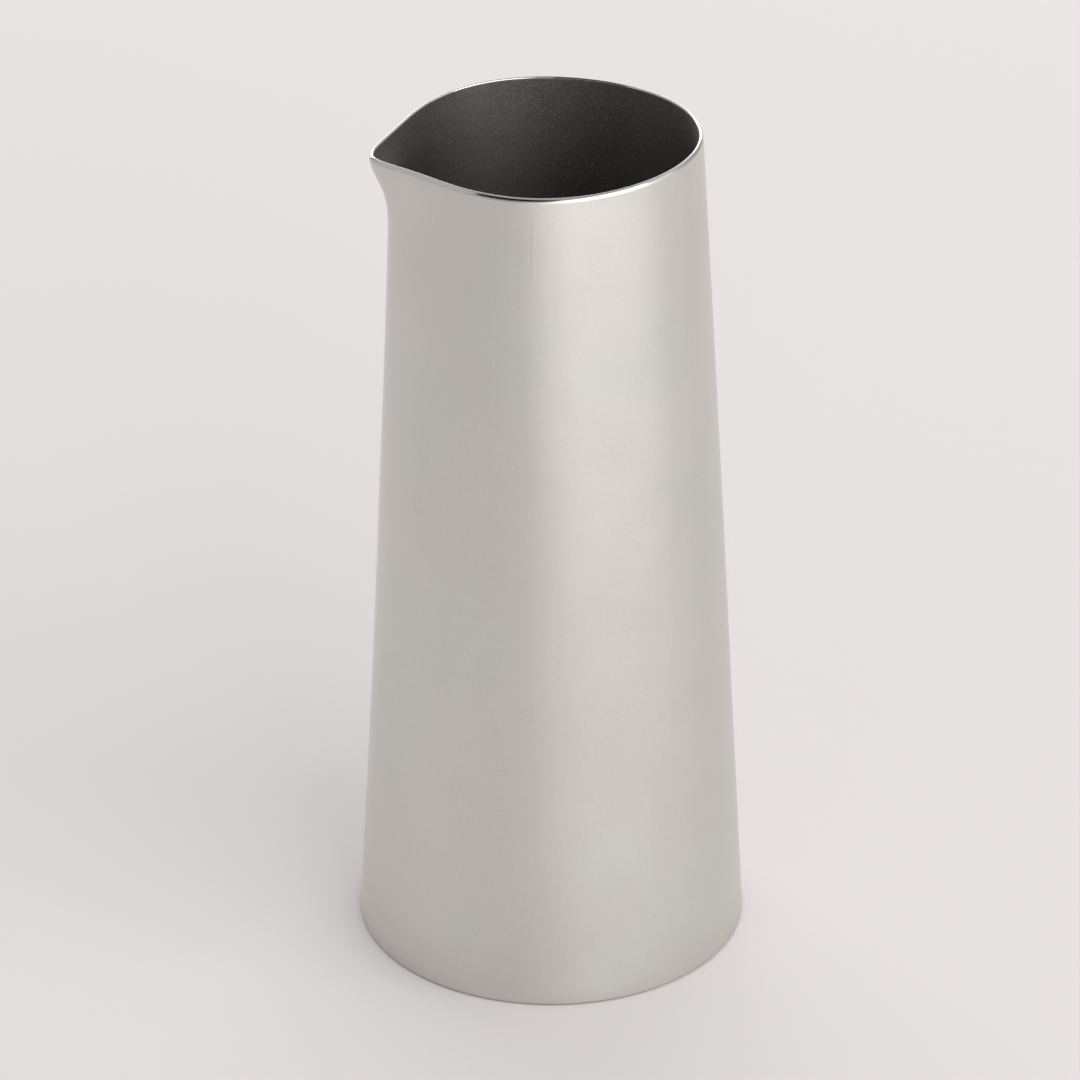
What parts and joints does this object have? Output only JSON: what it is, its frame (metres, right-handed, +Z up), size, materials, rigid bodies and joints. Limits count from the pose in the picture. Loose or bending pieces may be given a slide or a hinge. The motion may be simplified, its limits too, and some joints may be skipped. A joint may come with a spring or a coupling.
{
  "type": "insulated mixing vessel",
  "caption": "Tall conical double-walled steel mixing vessel with a drawn pouring lip, dark blasted liner, polished rim edge and a non-slip foot ring.",
  "frame": {"origin": "middle of the foot on the surface it stands on", "axes": "+Z up through the mouth, the pouring lip points along -X"},
  "size_m": [0.088, 0.088, 0.195],
  "materials": {
    "satin_steel": "satin brushed stainless steel",
    "blasted_steel": "dark bead-blasted stainless steel",
    "polished_steel": "ground and mirror polished stainless steel",
    "pressed_steel": "plain pressed stainless steel",
    "cover_steel": "turned stainless steel with a fine circular grain",
    "foot_silicone": "matt dark grey silicone",
    "sealing_glass": "fused brown sealing glass",
    "getter_alloy": "dull sintered metal"
  },
  "bodies": {
    "root": {"outer_shell": "satin_steel", "inner_liner": "blasted_steel", "rim_weld": "polished_steel", "liner_floor": "blasted_steel", "base_plate": "pressed_steel", "vacuum_seal": "sealing_glass", "getter": "getter_alloy", "getter_clip": "pressed_steel", "base_cover": "cover_steel", "base_pad": "foot_silicone"}
  },
  "joints": []
}
